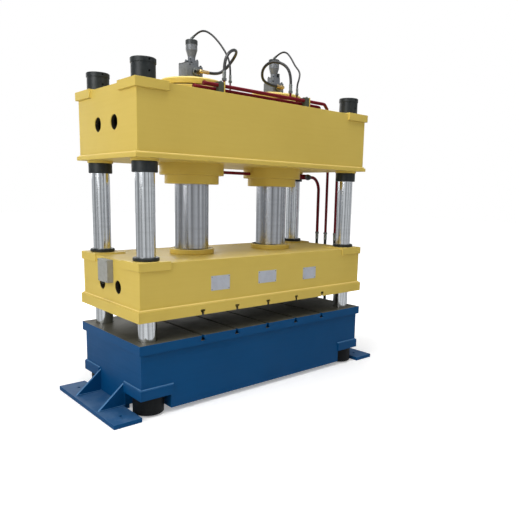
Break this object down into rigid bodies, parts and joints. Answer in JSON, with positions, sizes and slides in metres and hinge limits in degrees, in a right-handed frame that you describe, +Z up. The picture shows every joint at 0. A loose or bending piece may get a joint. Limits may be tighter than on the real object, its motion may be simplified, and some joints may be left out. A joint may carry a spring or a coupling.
{
  "type": "hydraulic press",
  "caption": "Four-column hydraulic press with a slotted bed table, a slide on the columns driven by cylinders in the crown, prefill valves, pipes and hoses.",
  "frame": {"origin": "on the floor under the middle of the press", "axes": "+X along the long side towards the drop lines, -Y towards the front, +Z up"},
  "size_m": [2.626, 0.94, 2.7077],
  "materials": {
    "bed_blue": "gloss",
    "yellow_paint": "gloss",
    "machined_steel": "ground",
    "chrome": "polished",
    "black_steel": "black oxide",
    "bronze": "satin",
    "brass": "satin",
    "seal_plastic": "matt",
    "valve_grey": "satin",
    "cap_grey": "satin",
    "valve_steel": "satin",
    "pipe_red": "gloss",
    "clamp_green": "matt",
    "hose_rubber": "satin",
    "ferrule_steel": "zinc plated",
    "box_grey": "satin"
  },
  "bodies": {
    "frame": {"bed_frame": "bed_blue", "bed_table": "machined_steel", "column_base_nuts": "black_steel", "column_front_left": "chrome", "column_front_right": "chrome", "column_lock_nuts": "black_steel", "column_rear_left": "chrome", "column_rear_right": "chrome", "column_top_nuts": "black_steel", "crown_frame": "yellow_paint", "cylinder_head_left": "yellow_paint", "cylinder_head_right": "yellow_paint", "cylinder_left": "yellow_paint", "cylinder_nuts": "yellow_paint", "cylinder_right": "yellow_paint", "cylinder_screws": "black_steel", "drop_hose_pilot": "hose_rubber", "drop_hose_return": "hose_rubber", "drop_hose_supply": "hose_rubber", "foot_left": "bed_blue", "foot_right": "bed_blue", "gland_left": "yellow_paint", "gland_right": "yellow_paint", "hose_ferrules": "ferrule_steel", "pilot_cap_left": "cap_grey", "pilot_cap_right": "cap_grey", "pilot_cylinder_left": "valve_grey", "pilot_cylinder_right": "valve_grey", "pilot_header": "pipe_red", "pilot_hose_left": "hose_rubber", "pilot_hose_right": "hose_rubber", "pipe_clamps": "clamp_green", "poppet_spring_left": "valve_steel", "poppet_spring_right": "valve_steel", "return_crossover": "pipe_red", "return_pipe": "pipe_red", "return_tee": "pipe_red", "rod_seals": "seal_plastic", "supply_elbows": "brass", "supply_header": "pipe_red", "supply_hose_left": "hose_rubber", "supply_hose_right": "hose_rubber", "valve_body_left": "valve_grey", "valve_body_right": "valve_grey", "valve_screws": "black_steel"},
    "slide": {"slide_frame": "yellow_paint", "slide_platen": "machined_steel", "guide_bushes": "bronze", "wiper_rings": "black_steel", "ram_left": "chrome", "ram_right": "chrome", "piston_rings": "seal_plastic", "ram_flange_left": "yellow_paint", "ram_flange_right": "yellow_paint", "ram_flange_screws": "black_steel", "junction_box": "box_grey", "junction_lid": "box_grey"},
    "poppet_left": {"poppet_left": "valve_steel"},
    "poppet_right": {"poppet_right": "valve_steel"}
  },
  "joints": [
    {"name": "slide_travel", "type": "slide", "parent": "frame", "child": "slide", "axis": [0, 0, 1], "range_m": [-0.1, 0.4]},
    {"name": "prefill_left", "type": "slide", "parent": "frame", "child": "poppet_left", "axis": [0, 0, -1], "range_m": [0, 0.016], "stiffness_N_per_m": 2000, "springref_m": -0.01, "deforming": ["poppet_spring_left"]},
    {"name": "prefill_right", "type": "slide", "parent": "frame", "child": "poppet_right", "axis": [0, 0, -1], "range_m": [0, 0.016], "stiffness_N_per_m": 2000, "springref_m": -0.01, "deforming": ["poppet_spring_right"]}
  ]
}
